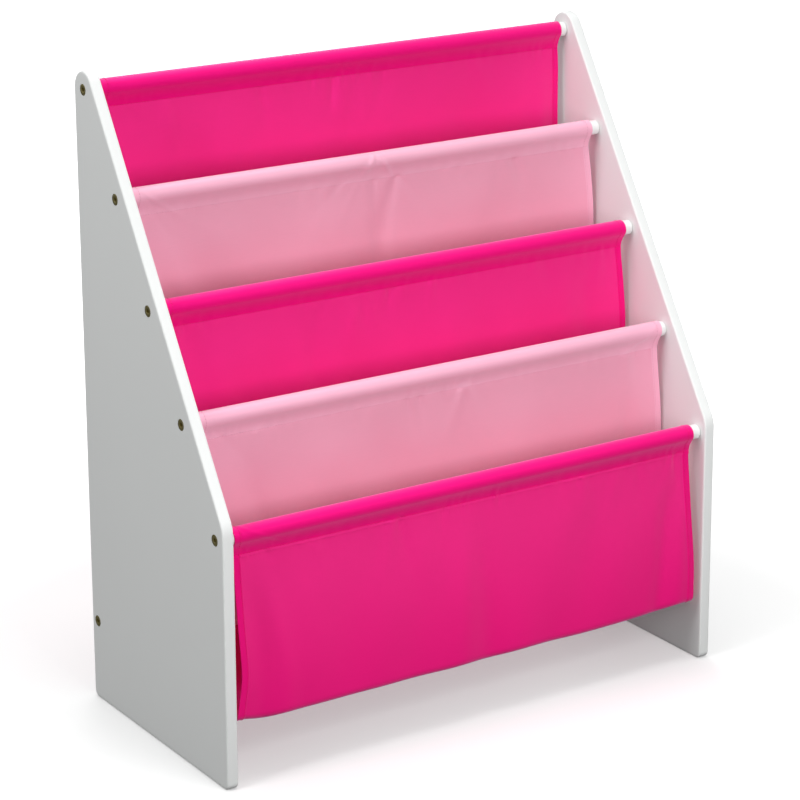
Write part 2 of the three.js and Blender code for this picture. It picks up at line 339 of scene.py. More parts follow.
def polyester_canvas(name, single, double, gloss_rgb, bloom_rgb, bloom):
    """Piece-dyed polyester canvas in plain weave: soft, with a broad pale bloom on its bends.

    Its yarns stand 0.6 mm apart. They are drawn 1.2 mm apart, so that they show from a step away.
    """
    material, tree, shader = start_material(name)
    drawn_pitch = 1.2 * MM
    cloth = add_node(tree, "ShaderNodeUVMap", {"uv_map": "cloth"}).outputs["UV"]
    parts = add_node(tree, "ShaderNodeSeparateXYZ", Vector=cloth)
    yarns = 2 * math.pi / drawn_pitch
    warp = maths(tree, "SINE", maths(tree, "MULTIPLY", parts.outputs["X"], yarns))
    weft = maths(tree, "SINE", maths(tree, "MULTIPLY", parts.outputs["Y"], yarns))
    weave = maths(tree, "MULTIPLY_ADD", maths(tree, "MULTIPLY", warp, weft), 0.5, 0.5)
    slub_places = add_node(
        tree, "ShaderNodeMapping", Vector=cloth, Scale=(60.0, 900.0, 1.0)
    ).outputs["Vector"]
    slubs = noise(tree, slub_places, scale=1.0, detail=3.0, roughness=0.6)
    cloud = noise(tree, scaled_places(tree), scale=9.0, detail=3.0, roughness=0.55)
    # The doubled attribute gives the plies, and on the front sling it also gives painted shade low
    # down.
    plies = add_node(tree, "ShaderNodeAttribute", {"attribute_name": "doubled"}).outputs["Fac"]
    dyed = mixed(tree, (*single, 1.0), (*double, 1.0), plies)
    # Painted shade: the weave's hollows are a little darker than its crowns. The slubs and the
    # cloud vary the tone at random.
    shade = maths(
        tree,
        "ADD",
        spread(tree, slubs, -0.035, 0.035),
        maths(tree, "ADD", spread(tree, weave, -0.03, 0.03), spread(tree, cloud, 0.95, 1.05)),
    )
    toned = add_node(
        tree, "ShaderNodeHueSaturation", Hue=0.5, Saturation=1.0, Value=shade, Fac=1.0, Color=dyed
    ).outputs["Color"]
    yarn_normal = bump(tree, weave, strength=0.35, distance=0.16 * MM)
    set_inputs(
        tree,
        shader,
        Base_Color=toned,
        Normal=bump(tree, slubs, strength=0.3, distance=0.2 * MM, Normal=yarn_normal),
        Roughness=spread(tree, slubs, 0.42, 0.52),
        IOR=1.62,
        Specular_IOR_Level=1.0,
        Specular_Tint=gloss_rgb,
        Sheen_Weight=bloom,
        Sheen_Roughness=0.42,
        Sheen_Tint=bloom_rgb,
    )
    return material


def sewing_thread(name, rgb):
    """Spun polyester thread: a little shinier than the cloth, with its twist as fine bands."""
    material, tree, shader = start_material(name)
    twist_pitch = 0.7 * MM
    twist = noise(tree, scaled_places(tree), scale=1 / twist_pitch, detail=1.0)
    set_inputs(
        tree,
        shader,
        Base_Color=mixed(tree, (*rgb, 1.0), darker(rgb, 0.8), twist),
        Normal=bump(tree, twist, strength=0.4, distance=0.1 * MM),
        Roughness=spread(tree, twist, 0.5, 0.65),
    )
    return material


def tumbled_brass(name, rgb, dull_share, rough_low, rough_high):
    """Brass, plated or drawn, then tumbled: its tone and gloss vary where it has been handled."""
    material, tree, shader = start_material(name)
    patches = noise(tree, scaled_places(tree), scale=420.0, detail=4.0, roughness=0.6)
    scratches = noise(tree, scaled_places(tree, (900.0, 2600.0, 2600.0)), scale=1.0)
    set_inputs(
        tree,
        shader,
        Base_Color=mixed(tree, (*rgb, 1.0), darker(rgb, dull_share), patches),
        Metallic=1.0,
        Normal=bump(tree, scratches, strength=0.2, distance=0.04 * MM),
        Roughness=spread(tree, patches, rough_low, rough_high),
    )
    return material


def material_named(name, maker, **settings):
    """The material of that name, made the first time that it is asked for."""
    return bpy.data.materials.get(name) or maker(name, **settings)


def chosen_colour(name):
    """One of the colours that a user can change."""
    return tuple(getattr(bpy.context.scene.rack_finishes, name))


def board_paint():
    """Board: fibres leave almost no grain under the paint."""
    return material_named(
        "satin_paint_on_fibreboard",
        sprayed_paint,
        rgb=chosen_colour("paint"),
        grain_scale=(900.0, 900.0, 900.0),
        grain_depth=0.02 * MM,
    )


def dowel_paint():
    """Turned beech: the grain runs along X and shows a little through the paint."""
    return material_named(
        "satin_paint_on_turned_beech",
        sprayed_paint,
        rgb=chosen_colour("paint"),
        grain_scale=(14.0, 700.0, 700.0),
        grain_depth=0.06 * MM,
    )


# How each cloth shines: the tints of its gloss and of its bloom, and the bloom's strength.
CLOTH_SHINE = {
    "hot_pink": (linear(0xFF50D0), linear(0xFFC0FF), 0.6),
    "light_pink": (linear(0xFFF2FF), linear(0xFFF8FF), 1.0),
}


def dye_of(node):
    """The dye of a sling, from its node's name."""
    return "hot_pink" if node.endswith("hot_pink") else "light_pink"


def cloth_material(dye):
    """The canvas of a sling."""
    tone = dye.removesuffix("_pink")
    gloss_rgb, bloom_rgb, bloom = CLOTH_SHINE[dye]
    return material_named(
        f"{dye}_polyester_canvas",
        polyester_canvas,
        single=chosen_colour(f"{tone}_single"),
        double=chosen_colour(f"{tone}_double"),
        gloss_rgb=gloss_rgb,
        bloom_rgb=bloom_rgb,
        bloom=bloom,
    )


def thread_material(dye):
    """The thread that a sling is sewn with."""
    tone = dye.removesuffix("_pink")
    return material_named(f"{dye}_thread", sewing_thread, rgb=chosen_colour(f"{tone}_double"))


# Meshes


def link_piece(name, mesh, material=None):
    """A mesh as an object in the scene, at the origin."""
    if material is not None:
        mesh.materials.clear()
        mesh.materials.append(material)
    piece = bpy.data.objects.new(name, mesh)
    bpy.context.scene.collection.objects.link(piece)
    return piece


def soften(mesh, angle):
    """Smooth shading, with edges sharper than an angle in degrees kept crisp."""
    mesh.shade_smooth()
    mesh.set_sharp_from_angle(angle=math.radians(angle))


def mesh_of_rings(name, rings):
    """A closed mesh through rings of points, each ring closed on itself, with both ends capped.

    Points of a ring that fall together become one.
    """
    count, around = rings.shape[:2]
    points = rings.reshape(-1, 3)
    faces = []
    for ring in range(count - 1):
        for step in range(around):
            after = (step + 1) % around
            low, high = ring * around, (ring + 1) * around
            faces.append((low + step, low + after, high + after, high + step))
    faces.append(tuple(reversed(range(around))))
    faces.append(tuple(range((count - 1) * around, count * around)))
    mesh = bpy.data.meshes.new(name)
    mesh.from_pydata(points.tolist(), [], faces)
    face_outwards(mesh, merge=0.001 * MM)
    return mesh


def face_outwards(mesh, merge=0.0):
    """Turns faces outwards, after merging points that fall together within a given distance."""
    work = bmesh.new()
    work.from_mesh(mesh)
    if merge > 0:
        bmesh.ops.remove_doubles(work, verts=work.verts, dist=merge)
        bmesh.ops.dissolve_degenerate(work, edges=work.edges, dist=merge)
    bmesh.ops.recalc_face_normals(work, faces=work.faces)
    work.to_mesh(mesh)
    work.free()
    mesh.update()


def turned(name, profile, sides, squeeze=None):
    """A solid of revolution about X, from a profile of (radius, place along X).

    squeeze, where given, is a function of ring number, angle and radius that returns a radius.
    """
    angles = np.arange(sides) * 2 * math.pi / sides
    rings = np.zeros((len(profile), sides, 3))
    for number, (radius, along) in enumerate(profile):
        radii = np.full(sides, radius)
        if squeeze is not None:
            radii = squeeze(number, angles, radii)
        rings[number, :, 0] = along
        rings[number, :, 1] = radii * np.cos(angles)
        rings[number, :, 2] = radii * np.sin(angles)
    return mesh_of_rings(name, rings)


def baked(piece):
    """Replaces a piece's mesh by what its modifiers make of it, and removes them."""
    graph = bpy.context.evaluated_depsgraph_get()
    mesh = bpy.data.meshes.new_from_object(
        piece.evaluated_get(graph), preserve_all_data_layers=True, depsgraph=graph
    )
    old = piece.data
    piece.modifiers.clear()
    piece.data = mesh
    mesh.name = piece.name
    bpy.data.meshes.remove(old)
    return piece


# Boards


def outline_corners(board):
    """The corners of a side panel, counterclockwise, as (front to back, height, radius)."""
    apex = board.slope_start + 2 * HALF_DEPTH / math.tan(board.slope_lean)
    return (
        (-HALF_DEPTH, 0.0, board.foot_round),
        (HALF_DEPTH, 0.0, board.foot_round),
        (HALF_DEPTH, apex, board.top_round),
        (-HALF_DEPTH, board.slope_start, board.slope_round),
    )


def rounded_outline(corners, inset):
    """A rounded outline, moved inwards by an inset, as rows of (front to back, height)."""
    arc_step = math.radians(3)
    points = []
    for number, (y, z, radius) in enumerate(corners):
        here = Vector((y, z))
        before = (Vector(corners[number - 1][:2]) - here).normalized()
        after = (Vector(corners[(number + 1) % len(corners)][:2]) - here).normalized()
        half = before.angle(after) / 2
        centre = here + (before + after).normalized() * (radius / math.sin(half))
        start = (here + before * (radius / math.tan(half))) - centre
        first = math.atan2(start.y, start.x)
        sweep = math.pi - 2 * half
        steps = max(2, math.ceil(sweep / arc_step))
        for step in range(steps + 1):
            angle = first + sweep * step / steps
            reach = radius - inset
            points.append((centre.x + reach * math.cos(angle), centre.y + reach * math.sin(angle)))
    return points


def board_profile(board):
    """The routed edge of a board, as (inset, distance in from the outer face)."""
    thickness = OUTER_FACE - INNER_FACE
    rim = board.edge_round
    steps = 6
    quarter = [step * math.pi / 2 / steps for step in range(steps + 1)]
    first = [(rim * (1 - math.sin(a)), rim * (1 - math.cos(a))) for a in quarter]
    flat_margin = 2 * rim
    near = [(rim + flat_margin, 0.0), *first]
    return near + [(inset, thickness - depth) for inset, depth in reversed(near)]


def bolt_hole(name, bolt, sign, centre):
    """The countersunk hole for one bolt, as a closed mesh to cut with."""
    thickness = OUTER_FACE - INNER_FACE
    shank = bolt.shank_radius + bolt.fit
    head = BOLT_HEAD_RADIUS + bolt.fit
    profile = [
        (0.0, -thickness),
        (head, -thickness),
        (head, bolt.rim + bolt.fit),
        (shank, bolt.head_height + bolt.fit),
        (shank, 2 * thickness),
        (0.0, 2 * thickness),
    ]
    placed = [(radius, sign * (OUTER_FACE - along)) for radius, along in profile]
    mesh = turned(name, placed, sides=48)
    mesh.transform(Matrix.Translation((0.0, *centre)))
    return mesh


def cut_holes(piece, meshes):
    """Cuts closed meshes out of a piece."""
    cutter_mesh = bpy.data.meshes.new("holes")
    work = bmesh.new()
    for mesh in meshes:
        work.from_mesh(mesh)
        bpy.data.meshes.remove(mesh)
    work.to_mesh(cutter_mesh)
    work.free()
    cutter = link_piece("holes", cutter_mesh)
    cut = piece.modifiers.new("Holes", "BOOLEAN")
    cut.operation = "DIFFERENCE"
    cut.solver = "EXACT"
    cut.object = cutter
    baked(piece)
    bpy.data.objects.remove(cutter)
    bpy.data.meshes.remove(cutter_mesh)


class RACK_OT_panels(bpy.types.Operator):
    """Build the two painted side panels, with routed edges and countersunk bolt holes"""

    bl_idname = "rack.panels"
    bl_label = "Side Panels"

    def execute(self, context):
        board = context.scene.rack_board
        bolt = context.scene.rack_bolt
        corners = outline_corners(board)
        for side, sign in SIDES:
            name = f"side_panel_{side}_painted"
            rings = []
            for inset, depth in board_profile(board):
                x = sign * (OUTER_FACE - depth)
                rings.append([(x, y, z) for y, z in rounded_outline(corners, inset)])
            piece = link_piece(name, mesh_of_rings(name, np.array(rings)), board_paint())
            cut_holes(piece, [bolt_hole("hole", bolt, sign, centre) for centre in ALL_DOWELS])
            soften(piece.data, angle=35)
            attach(piece, BODY)
            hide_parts(f"side_panel_{side}")
        return {"FINISHED"}


# Dowels


class RACK_OT_dowels(bpy.types.Operator):
    """Build the six painted dowels, bored at both ends"""

    bl_idname = "rack.dowels"
    bl_label = "Dowels"

    def execute(self, context):
        sizes = context.scene.rack_dowel
        chamfer = sizes.end_chamfer
        end = [
            (0.0, HALF_DOWEL - sizes.bore_depth),
            (sizes.bore_radius, HALF_DOWEL - sizes.bore_depth),
            (sizes.bore_radius, HALF_DOWEL),
            (DOWEL_RADIUS - chamfer, HALF_DOWEL),
            (DOWEL_RADIUS, HALF_DOWEL - chamfer),
        ]
        profile = [(radius, -along) for radius, along in end]
        profile += list(reversed(end))
        for node, centre in zip(DOWEL_NODES, ALL_DOWELS):
            name = f"{node}_painted"
            mesh = turned(name, profile, sizes.sides)
            mesh.transform(Matrix.Translation((0.0, *centre)))
            soften(mesh, angle=35)
            piece = link_piece(name, mesh, dowel_paint())
            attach(piece, BODY)
            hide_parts(node)
        return {"FINISHED"}


# Bolts


def bolt_mesh(sizes):
    """One bolt, its head's face at X = 0 and its shank along +X."""
    sides = 36
    corner = math.pi / 3
    hex_radius = sizes.socket_flats / 2
    head = BOLT_HEAD_RADIUS
    lip = 0.25 * MM
    tip = 0.8 * MM
    # The socket ends in a shallow drilled cone. The lip eases its mouth and the head's rim.
    profile = [
        (0.0, sizes.socket_depth + 0.6 * MM),
        (0.55 * hex_radius, sizes.socket_depth + 0.2 * MM),
        (hex_radius, sizes.socket_depth),
        (hex_radius, lip),
        (hex_radius + 1.6 * lip, 0.1 * MM),
        (hex_radius + 3.2 * lip, 0.0),
        (head - lip, 0.0),
        (head - 0.3 * lip, 0.3 * lip),
        (head, lip),
        (head, sizes.rim),
        (sizes.shank_radius, sizes.head_height),
    ]
    hexagonal = {1, 2, 3, 4}  # the rings of the socket's sides and mouth
    first_turn = len(profile)
    rings_per_turn = 5
    step = sizes.thread_pitch / rings_per_turn
    rows = round((BOLT_LENGTH - tip - sizes.thread_start) / step)
    for row in range(rows):
        profile.append((sizes.shank_radius, sizes.thread_start + row * step))
    last_turn = len(profile)
    profile.append((sizes.shank_radius - sizes.thread_depth, BOLT_LENGTH - tip))
    profile.append((sizes.shank_radius - sizes.thread_depth - tip, BOLT_LENGTH))
    profile.append((0.0, BOLT_LENGTH))

    def squeeze(number, angles, radii):
        if number in hexagonal:
            away = (angles + corner / 2) % corner - corner / 2
            return radii / np.cos(away)
        if first_turn < number < last_turn:
            turns = (profile[number][1] / sizes.thread_pitch - angles / (2 * math.pi)) % 1.0
            return radii - sizes.thread_depth * np.abs(2 * turns - 1)
        return radii

    return turned("bolt", profile, sides, squeeze)


def new_geometry_tree(name, **inputs):
    """A Geometry Nodes tree and its input node. Inputs are kinds of socket, by label."""
    tree = bpy.data.node_groups.new(name, "GeometryNodeTree")
    for label, kind in {"Geometry": "Geometry", **inputs}.items():
        tree.interface.new_socket(name=label, in_out="INPUT", socket_type=f"NodeSocket{kind}")
    tree.interface.new_socket(name="Geometry", in_out="OUTPUT", socket_type="NodeSocketGeometry")
    return tree, tree.nodes.new("NodeGroupInput")


def end_geometry_tree(tree, geometry, material_socket):
    """Ends a tree in real meshes with their material."""
    real = add_node(tree, "GeometryNodeRealizeInstances", Geometry=geometry)
    dressed = add_node(
        tree,
        "GeometryNodeSetMaterial",
        Geometry=real.outputs["Geometry"],
        Material=material_socket,
    )
    add_node(tree, "NodeGroupOutput", in_0=dressed.outputs["Geometry"])


def seated_copies_tree():
    """Copies of one object on seats; each seat's turn about Z is its own attribute."""
    tree, given = new_geometry_tree("seated_copies", Copied="Object", Material="Material")
    copied = add_node(tree, "GeometryNodeObjectInfo", in_0=given.outputs["Copied"])
    turn = add_node(tree, "GeometryNodeInputNamedAttribute", {"data_type": "FLOAT"}, Name="turn")
    axis = add_node(tree, "ShaderNodeCombineXYZ", Z=turn.outputs["Attribute"])
    rotation = add_node(tree, "FunctionNodeEulerToRotation", in_0=axis.outputs["Vector"])
    points = add_node(tree, "GeometryNodeMeshToPoints", Mesh=given.outputs["Geometry"])
    copies = add_node(
        tree,
        "GeometryNodeInstanceOnPoints",
        Points=points.outputs["Points"],
        Instance=copied.outputs["Geometry"],
        Rotation=rotation.outputs["Rotation"],
    )
    end_geometry_tree(tree, copies.outputs["Instances"], given.outputs["Material"])
    return tree


def grown(piece, tree, **inputs):
    """A piece made into what a Geometry Nodes tree makes of it, given the tree's inputs."""
    modifier = piece.modifiers.new(tree.name, "NODES")
    modifier.node_group = tree
    for item in tree.interface.items_tree:
        if item.in_out == "INPUT" and item.name in inputs:
            modifier[item.identifier] = inputs[item.name]
    return baked(piece)


def seated_copies(name, mesh, material):
    """One mesh copied to both ends of every dowel, its X = 0 on the panels' outer faces."""
    seats = bpy.data.meshes.new(f"{name}_seats")
    seat_list = [(sign * OUTER_FACE, *centre) for centre in ALL_DOWELS for _, sign in SIDES]
    turns = [0.0 if sign < 0 else math.pi for _ in ALL_DOWELS for _, sign in SIDES]
    seats.from_pydata(seat_list, [], [])
    seats.attributes.new("turn", "FLOAT", "POINT").data.foreach_set("value", turns)
    one = link_piece(f"{name}_one", mesh, material)
    piece = grown(link_piece(name, seats), seated_copies_tree(), Copied=one, Material=material)
    bpy.data.objects.remove(one)
    bpy.data.meshes.remove(mesh)
    return piece


def nodes_at_ends(kind):
    """The names of the nodes of one kind, at both ends of every dowel."""
    ends = [dowel.removeprefix("dowel_") for dowel in DOWEL_NODES]
    return [f"{kind}_{side}_{end}" for end in ends for side, _ in SIDES]


class RACK_OT_bolts(bpy.types.Operator):
    """Build the twelve countersunk bolts with hex sockets"""

    bl_idname = "rack.bolts"
    bl_label = "Bolts"

    def execute(self, context):
        material = material_named(
            "aged_brass_plate",
            tumbled_brass,
            rgb=chosen_colour("aged_brass"),
            dull_share=0.55,
            rough_low=0.34,
            rough_high=0.52,
        )
        mesh = bolt_mesh(context.scene.rack_bolt)
        piece = seated_copies("bolts_aged_brass", mesh, material)
        soften(piece.data, angle=30)
        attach(piece, BODY)
        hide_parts(*nodes_at_ends("bolt"))
        return {"FINISHED"}


class RACK_OT_inserts(bpy.types.Operator):
    """Finish the threaded sleeves in the dowel ends"""

    bl_idname = "rack.inserts"
    bl_label = "Threaded Sleeves"

    def execute(self, context):
        material = material_named(
            "bright_drawn_brass",
            tumbled_brass,
            rgb=chosen_colour("bright_brass"),
            dull_share=0.8,
            rough_low=0.25,
            rough_high=0.38,
        )
        for node in nodes_at_ends("threaded_insert"):
            for material_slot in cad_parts[node].material_slots:
                material_slot.material = material
        return {"FINISHED"}


# Slings

# Where a sleeve leaves its dowel, as an angle from straight down.
SLEEVE_LEAVES = math.radians(52)

# Steps of the mesh along the cloth: the shortest, beside its stitches and turns, and the longest
# between a sleeve's stitches and its dowel. Its rows over a dowel, round a turn and between turns.
FINE_STEP = 0.6 * MM
SLEEVE_STEP = 1.6 * MM
DOWEL_ROWS = 34
TURN_ROWS = 9
BOTTOM_ROWS = 12


def graded(total, fine, coarse):
    """Distances from 0 to a total, in steps that grow from fine to coarse."""
    growth = 1.3
    places = [0.0]
    step = fine
    while places[-1] < total:
        places.append(places[-1] + step)
        step = min(step * growth, coarse)
    return np.array(places) * (total / places[-1])


def smoothstep(value, low, high):
    """0 below low, 1 above high, and a smooth rise between."""
    share = np.clip((value - low) / (high - low), 0, 1)
    return share * share * (3 - 2 * share)


def bump_at(value, width):
    """A smooth bump of height 1 at 0."""
    return np.exp(-((value / width) ** 2))


def hermite(share, start, leaving, end, arriving):
    """Points of the smooth curve from a start to an end with given directions there."""
    square, cube = share**2, share**3
    return (
        (2 * cube - 3 * square + 1) * start
        + (cube - 2 * square + share) * leaving
        + (3 * square - 2 * cube) * end
        + (cube - square) * arriving
    )


def pocket_bottom(cloth, index):
    """The height of the bottom of the pocket behind a dowel."""
    return SLING_DOWELS[index][1] - cloth.pocket_depth


def belly(cloth, index, heights):
    """How far the cloth stands forward of its dowel at heights below the stitch line."""
    deepest = cloth.front_belly if index == len(SLING_DOWELS) - 1 else cloth.inner_belly
    stitch = SLING_DOWELS[index][1] - cloth.stitch_drop
    share = np.clip((stitch - heights) / (cloth.pocket_depth - cloth.stitch_drop), 0, 1)
    return deepest * np.sin(share * math.pi / 2)


def run(cloth, index, side, heights):
    """The upright cloth beside a dowel's column, behind its middle (side +1) or before it (-1)."""
    places = SLING_DOWELS[index][0] - belly(cloth, index, heights) + side * cloth.ply_offset
    return np.column_stack([places, heights])


def quarter_turn(centre, low, radius, first):
    """A quarter of a circle that touches the height low, from a first angle, clockwise."""
    angles = first - np.linspace(0, math.pi / 2, TURN_ROWS)
    return np.column_stack([centre + radius * np.cos(angles), low + radius * (1 + np.sin(angles))])


def sleeve(cloth, index):
    """From the stitch line behind a dowel, over it, to the stitch line before it."""
    y, z = SLING_DOWELS[index]
    radius = cloth.sleeve_radius
    angles = np.linspace(SLEEVE_LEAVES - math.pi / 2, 1.5 * math.pi - SLEEVE_LEAVES, DOWEL_ROWS)
    arc = np.column_stack([y + radius * np.cos(angles), z + radius * np.sin(angles)])
    stitch = np.array([y + cloth.ply_offset, z - cloth.stitch_drop])
    reach = np.linalg.norm(arc[0] - stitch)
    share = (graded(reach, FINE_STEP, SLEEVE_STEP) / reach)[:-1, None]
    heading = np.array([math.cos(SLEEVE_LEAVES), math.sin(SLEEVE_LEAVES)])
    rise = hermite(share, stitch, np.array([0.0, reach]), arc[0], heading * reach)
    fall = rise[::-1] * (-1, 1) + (2 * y, 0)
    return np.vstack([rise, arc, fall])


def pocket_line(cloth, index, stitch):
    """From the seam behind a pocket down and round its bottom, up to the stitch line before it."""
    low = pocket_bottom(cloth, index)
    foot = low + cloth.join_rise
    back = SLING_DOWELS[index - 1][0] - belly(cloth, index - 1, foot) + cloth.ply_offset
    turn = low + cloth.front_turn
    front = SLING_DOWELS[index][0] - belly(cloth, index, turn) + cloth.ply_offset
    drops = graded(foot - low - cloth.back_turn, FINE_STEP, cloth.row_step)
    fall = np.column_stack([np.full(len(drops), back), foot - drops])
    slack = quarter_turn(back - cloth.back_turn, low, cloth.back_turn, 0.0)
    tight = quarter_turn(front + cloth.front_turn, low, cloth.front_turn, -math.pi / 2)
    share = np.linspace(0, 1, BOTTOM_ROWS)[1:-1, None]
    flat = slack[-1] * (1 - share) + tight[0] * share
    flat[:, 1] -= cloth.bottom_sag * np.sin(share[:, 0] * math.pi)
    heights = (stitch - graded(stitch - turn, FINE_STEP, cloth.row_step))[::-1]
    rise = run(cloth, index, 1, heights)
    return np.vstack([fall, slack[1:], flat, tight[:-1], rise])


def sling_line(cloth, index):
    """A sling's section as rows of (front to back, height), and the numbers of its stitched rows.

    It runs round the bottom of its pocket, up to its dowel, over it, and down before it as the
    back of the next pocket.
    """
    stitch = SLING_DOWELS[index][1] - cloth.stitch_drop
    if index == 0:
        below = graded(cloth.end_turn, FINE_STEP, FINE_STEP)[::-1]
        before = run(cloth, index, 1, stitch - below)
    else:
        before = pocket_line(cloth, index, stitch)
    over = sleeve(cloth, index)
    if index == len(SLING_DOWELS) - 1:
        after = run(cloth, index, -1, stitch - graded(cloth.end_turn, FINE_STEP, FINE_STEP))
    else:
        end = pocket_bottom(cloth, index + 1) + cloth.join_rise - cloth.seam_lap
        after = run(cloth, index, -1, stitch - graded(stitch - end, FINE_STEP, cloth.row_step))
    line = np.vstack([before, over[1:-1], after])
    return line, (len(before) - 1, len(before) + len(over) - 2)


# How far the left and right edges stand to the right of the plain width, in millimetres, at
# depths below the dowel's middle; one row for each dowel, from the top.
EDGE_DEPTHS = (0.0, 20.0, 50.0, 95.0, 150.0, 190.0)
LEFT_EDGES = (
    (-2.0, -1.0, -1.0, -1.0, -1.0, -1.0),
    (-3.0, -1.5, -1.0, -2.0, -2.0, -1.0),
    (-3.0, -1.5, -1.0, -2.0, -2.0, -1.0),
    (-3.0, -1.5, -1.0, -2.0, -2.0, -1.0),
    (-2.8, 0.3, 0.5, 1.2, 3.8, -4.2),
)
RIGHT_EDGES = (
    (-1.2, -0.8, -0.2, -1.4, -1.2, -1.2),
    (-4.0, -3.3, -0.4, 3.2, 3.2, 2.2),
    (-3.8, -4.8, -1.8, 1.9, 2.0, 1.0),
    (1.0, -0.8, 1.6, 4.7, 4.6, 3.6),
    (-4.2, -3.4, -3.4, -3.3, -0.8, -1.5),
)

# Upright folds: place across at the stitch line, drift across for each unit of fall, depth
# (towards the back is more than 0) and half width, lengths in millimetres; by dowel, from the top.
UPRIGHT_FOLDS = (
    ((-176, 0.05, 2.6, 28), (-20, -0.08, -2.4, 32), (150, 0.1, 2.2, 28), (262, 0.0, -2.0, 12)),
    ((-250, 0.22, -2.4, 13), (-205, 0.1, 2.2, 20), (4, 0.05, 2.4, 12), (170, -0.1, 2.4, 26)),
    ((-232, 0.1, -2.4, 17), (-122, 0.12, 2.8, 14), (62, 0.0, -2.6, 30), (236, -0.05, 2.2, 18)),
    ((-240, 0.25, 2.6, 15), (-60, 0.1, 2.2, 30), (110, -0.1, -2.6, 32), (252, -0.15, 2.4, 12)),
    (
        (-274, 0.10, 3.4, 14),
        (-250, 0.12, -2.2, 12),
        (-14, -0.03, -1.6, 14),
        (10, 0.04, 3.0, 17),
        (60, 0.02, -1.6, 26),
        (130, 0.05, 1.6, 40),
        (262, -0.14, 2.8, 11),
        (281, -0.10, -1.4, 9),
    ),
)

# How far a fold sinks at a pocket's bottom for each unit that it moves back.
FOLD_DIP = 0.45

# How far in from its left (-1) and right (+1) edges a sling's bottom is lifted.
CORNER_REACHES = ((-1, 0.024), (1, 0.048))

# Sharp creases from the top of a sleeve down: dowel, counted from 0 at the top, place across,
# drift, depth, half width and reach, lengths in millimetres.
SLEEVE_CREASES = (
    (1, 0.0, 0.0, 1.3, 2.2, 60.0),
    (1, 1.0, 0.75, -1.1, 2.4, 54.0),
    (1, 6.0, 0.9, 0.9, 2.6, 64.0),
    (1, -2.0, -0.6, -1.0, 2.4, 50.0),
    (1, -4.0, -1.3, 0.9, 2.6, 54.0),
    (1, -284.0, 0.7, 0.8, 2.8, 70.0),
    (1, -286.0, 1.5, -0.7, 3.0, 60.0),
    (1, 282.0, -0.8, 0.6, 3.0, 50.0),
    (3, 286.0, -0.9, 0.8, 3.0, 60.0),
    (3, 284.0, -1.6, -0.6, 3.4, 50.0),
    (3, -286.0, 0.9, 0.6, 3.0, 60.0),
    (2, 282.0, -0.8, 0.7, 3.0, 46.0),
    (2, -150.0, 0.3, 0.5, 3.0, 46.0),
    (0, 284.0, -0.7, 0.6, 3.0, 50.0),
    (0, -286.0, 0.8, 0.6, 3.0, 46.0),
    (4, -284.0, 1.1, 0.7, 3.0, 50.0),
    (4, -280.0, 2.2, -0.5, 3.4, 46.0),
    (4, 283.0, -0.8, 0.7, 3.0, 60.0),
)

# Creases at places that are drawn: how many of each kind at each dowel, and the first seed.
PUCKERS = 7
FANNED_CREASES = 12
SLOW_WAVES = 4
CREASE_SEED = 40

# The cloth of a sleeve lies on its dowel: it can rise in a crease, but sink no more than this.
MOST_SLEEVE_SINK = 0.1 * MM

# The middle of a sling and its ends carry sharp creases this far out.
CREASED_MIDDLE = 0.040
CREASED_ENDS = 0.044

# How far in from its fold a hem is stitched.
HEM_STITCH_IN = 1.4 * MM

# How far stitches pull two plies towards each other, and how far from the stitches that shows.
STITCH_PULL = 0.18 * MM
STITCH_PULL_REACH = 1.6 * MM

# Light comes through one ply of the front sling from the open pocket behind it, and less of it low
# down. This is painted shade: low down the cloth is coloured as if it were doubled, by up to this
# share.
PAINTED_LOW_SHADE = 0.8


def edge_shift(rows, column, drop):
    """How far an edge moves to the right at distances below the stitch line, smoothed."""
    depths = drop / MM + EDGE_DEPTHS[1]
    near_by = np.linspace(-12.0, 12.0, 7)
    shifts = [np.interp(depths + step, EDGE_DEPTHS, rows[column]) for step in near_by]
    return np.mean(shifts, axis=0) * MM


def beside_dowels(cloth, points):
    """Each dowel's number, how near points are to its column, and how far below its stitches.

    Nearness falls from 1 at the column to 0 at the next one.
    """
    y, z = points[..., 1].copy(), points[..., 2].copy()
    reach = SLING_DOWELS[0][0] - SLING_DOWELS[1][0]
    for column, (dowel_y, dowel_z) in enumerate(SLING_DOWELS):
        near = np.clip(1 - np.abs(y - dowel_y) / reach, 0, 1)
        yield column, near, dowel_z - cloth.stitch_drop - z


def drape(cloth, points):
    """Moves flat-hung cloth into its folds, in place; cloth that lies together stays together."""
    x = points[..., 0].copy()
    across = x / cloth.half_width
    depth = cloth.pocket_depth
    for column, near, drop in beside_dowels(cloth, points):
        down = smoothstep(drop, 0, 0.4 * depth)
        for place, drift, fold_depth, width in UPRIGHT_FOLDS[column]:
            fold = bump_at(x - place * MM - drift * drop, width * MM)
            moved = near * down * fold_depth * MM * fold
            points[..., 1] += moved
            points[..., 2] -= FOLD_DIP * moved * smoothstep(drop, 0.5 * depth, 0.9 * depth)
        left = edge_shift(LEFT_EDGES, column, drop) * smoothstep(-across, 0, 1)
        right = edge_shift(RIGHT_EDGES, column, drop) * smoothstep(across, 0, 1)
        points[..., 0] += near * (left + right)
        bottom = smoothstep(drop, depth / 2, depth - cloth.stitch_drop)
        for side, corner_reach in CORNER_REACHES:
            corner = bump_at(cloth.half_width - side * x, corner_reach)
            points[..., 2] += near * cloth.corner_lift * bottom * corner


